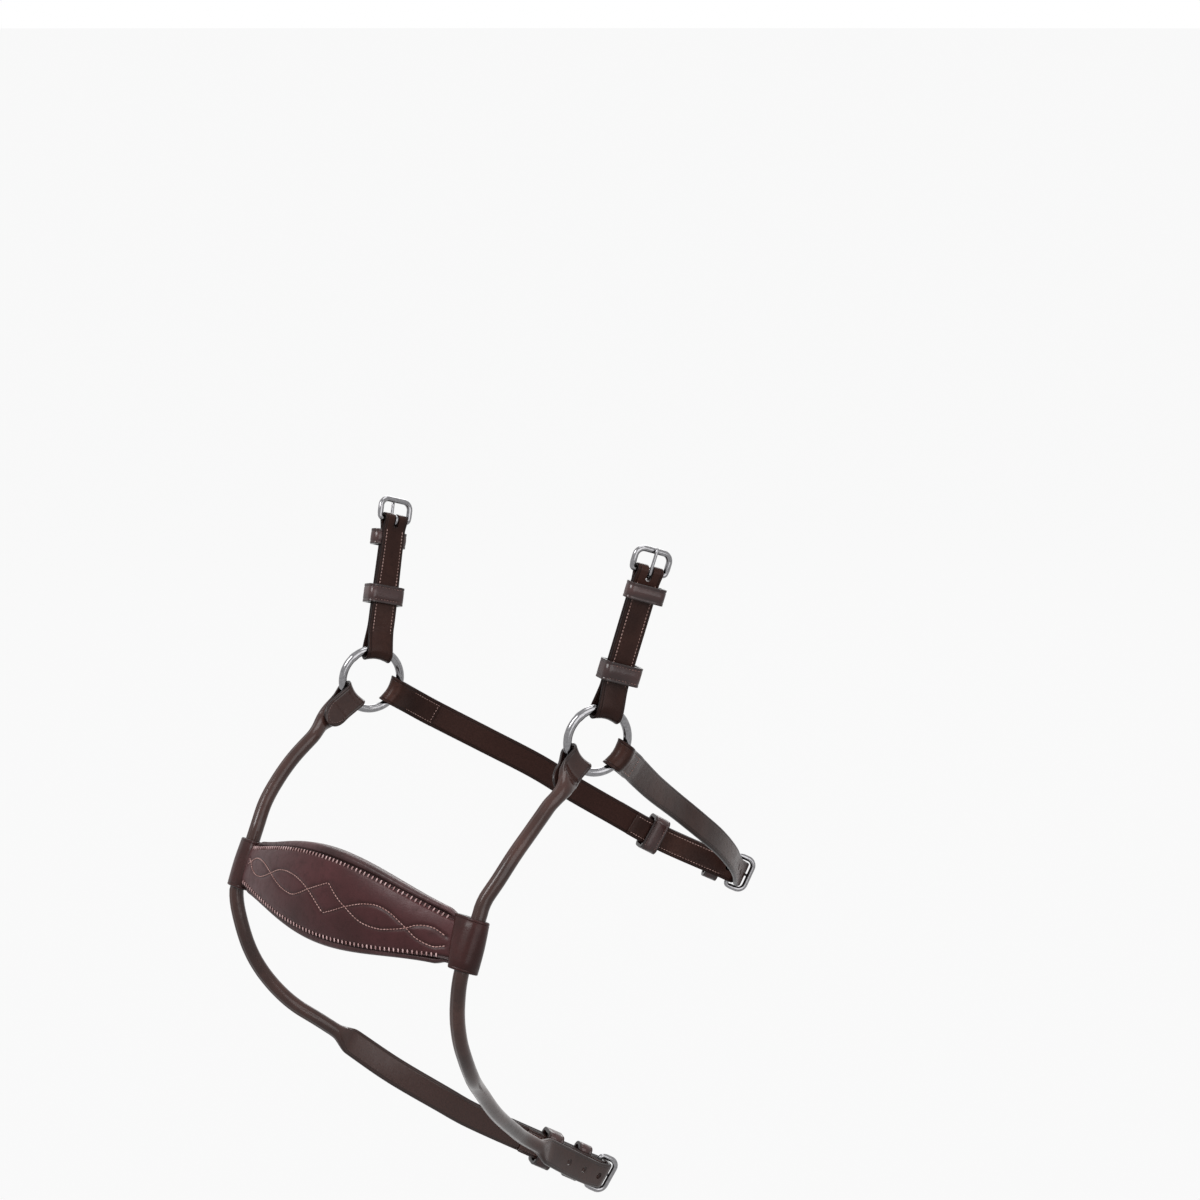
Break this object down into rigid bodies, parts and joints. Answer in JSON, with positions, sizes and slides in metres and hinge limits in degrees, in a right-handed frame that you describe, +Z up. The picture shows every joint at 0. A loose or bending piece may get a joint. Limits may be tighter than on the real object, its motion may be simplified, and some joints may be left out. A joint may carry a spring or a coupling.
{
  "type": "bridle noseband",
  "caption": "Bridle noseband: padded nosepiece on two rolled leather straps, hung from rings on two buckled hanger straps, with buckled jaw and chin straps.",
  "frame": {"origin": "midway between the heel bars of the two hanger buckles, where the headpiece's billets hold the noseband up", "axes": "+Z up, -Y towards the muzzle (the nosepiece's front), +X towards the horse's left side"},
  "size_m": [0.201, 0.313, 0.3747],
  "materials": {
    "strap_leather": "satin",
    "nosepiece_leather": "satin",
    "padding_leather": "satin",
    "stainless_steel": "polished"
  },
  "bodies": {
    "hangers": {"hanger_strap_left": "strap_leather", "hanger_fixed_keeper_left": "strap_leather", "hanger_strap_right": "strap_leather", "hanger_fixed_keeper_right": "strap_leather"},
    "left_ring": {"ring_left": "stainless_steel"},
    "right_ring": {"ring_right": "stainless_steel"},
    "cheek_and_chin_straps": {"rolled_strap_left": "strap_leather", "rolled_strap_right": "strap_leather", "chin_fixed_keeper": "strap_leather"},
    "jaw_straps": {"jaw_strap_left": "strap_leather", "jaw_strap_right": "strap_leather", "jaw_fixed_keeper": "strap_leather"},
    "nosepiece": {"nose_front": "nosepiece_leather", "nose_pad": "padding_leather", "cuff_left": "nosepiece_leather", "cuff_right": "nosepiece_leather"},
    "left_hanger_frame": {"hanger_buckle_left": "stainless_steel"},
    "right_hanger_frame": {"hanger_buckle_right": "stainless_steel"},
    "left_hanger_tongue": {"hanger_tongue_left": "stainless_steel"},
    "right_hanger_tongue": {"hanger_tongue_right": "stainless_steel"},
    "left_hanger_slide": {"hanger_slide_keeper_left": "strap_leather"},
    "right_hanger_slide": {"hanger_slide_keeper_right": "strap_leather"},
    "jaw_frame": {"jaw_buckle": "stainless_steel"},
    "jaw_tongue_body": {"jaw_tongue": "stainless_steel"},
    "jaw_slide": {"jaw_slide_keeper": "strap_leather"},
    "chin_frame": {"chin_buckle": "stainless_steel"},
    "chin_tongue_body": {"chin_tongue": "stainless_steel"},
    "chin_slide": {"chin_slide_keeper": "strap_leather"}
  },
  "joints": [
    {"name": "left_ring_turn", "type": "hinge", "parent": "hangers", "child": "left_ring", "pos_m": [0.0838, -0.0251, -0.0801], "axis": [0.9397, -0.342, 0], "continuous": true},
    {"name": "right_ring_turn", "type": "hinge", "parent": "hangers", "child": "right_ring", "pos_m": [-0.0838, -0.0251, -0.0801], "axis": [0.9397, -0.342, 0], "continuous": true},
    {"name": "noseband_swing", "type": "hinge", "parent": "hangers", "child": "cheek_and_chin_straps", "pos_m": [0, -0.0251, -0.0801], "axis": [1, 0, 0], "range_deg": [-10, 10]},
    {"name": "jaw_swing", "type": "hinge", "parent": "hangers", "child": "jaw_straps", "pos_m": [0, -0.0251, -0.0801], "axis": [1, 0, 0], "range_deg": [-10, 10]},
    {"name": "nosepiece_slide", "type": "slide", "parent": "cheek_and_chin_straps", "child": "nosepiece", "axis": [0, 0.4194, 0.9078], "range_m": [-0.002, 0.004]},
    {"name": "left_hanger_frame_pivot", "type": "hinge", "parent": "hangers", "child": "left_hanger_frame", "pos_m": [0.0929, 0, 0], "axis": [0.359, 0.8782, -0.316], "range_deg": [-30, 35]},
    {"name": "left_hanger_tongue_pivot", "type": "hinge", "parent": "left_hanger_frame", "child": "left_hanger_tongue", "pos_m": [0.0929, 0, 0], "axis": [0.359, 0.8782, -0.316], "range_deg": [0, 50]},
    {"name": "left_hanger_keeper_slide", "type": "slide", "parent": "hangers", "child": "left_hanger_slide", "axis": [0.1077, 0.2973, 0.9487], "range_m": [-0.003, 0.008]},
    {"name": "right_hanger_frame_pivot", "type": "hinge", "parent": "hangers", "child": "right_hanger_frame", "pos_m": [-0.0929, 0, 0], "axis": [-0.1206, -0.9481, 0.2941], "range_deg": [-30, 35]},
    {"name": "right_hanger_tongue_pivot", "type": "hinge", "parent": "right_hanger_frame", "child": "right_hanger_tongue", "pos_m": [-0.0929, 0, 0], "axis": [-0.1206, -0.9481, 0.2941], "range_deg": [0, 50]},
    {"name": "right_hanger_keeper_slide", "type": "slide", "parent": "hangers", "child": "right_hanger_slide", "axis": [-0.1515, 0.3104, 0.9384], "range_m": [-0.008, 0.008]},
    {"name": "jaw_frame_pivot", "type": "hinge", "parent": "jaw_straps", "child": "jaw_frame", "pos_m": [-0.0022, 0.1678, -0.2109], "axis": [0.1617, 0.4271, 0.8896], "range_deg": [-20, 0]},
    {"name": "jaw_tongue_pivot", "type": "hinge", "parent": "jaw_straps", "child": "jaw_tongue_body", "pos_m": [-0.0022, 0.1678, -0.2109], "axis": [0.1617, 0.4271, 0.8896], "range_deg": [0, 4]},
    {"name": "jaw_keeper_slide", "type": "slide", "parent": "jaw_straps", "child": "jaw_slide", "axis": [0.4526, 0.7326, -0.5084], "range_m": [-0.004, 0.004]},
    {"name": "chin_frame_pivot", "type": "hinge", "parent": "cheek_and_chin_straps", "child": "chin_frame", "pos_m": [0.011, 0.0444, -0.3486], "axis": [0.2248, 0.4552, 0.8616], "range_deg": [-20, 0]},
    {"name": "chin_tongue_pivot", "type": "hinge", "parent": "cheek_and_chin_straps", "child": "chin_tongue_body", "pos_m": [0.011, 0.0444, -0.3486], "axis": [0.2248, 0.4552, 0.8616], "range_deg": [0, 4]},
    {"name": "chin_keeper_slide", "type": "slide", "parent": "cheek_and_chin_straps", "child": "chin_slide", "axis": [0.4161, 0.759, -0.5009], "range_m": [-0.004, 0.004]}
  ]
}
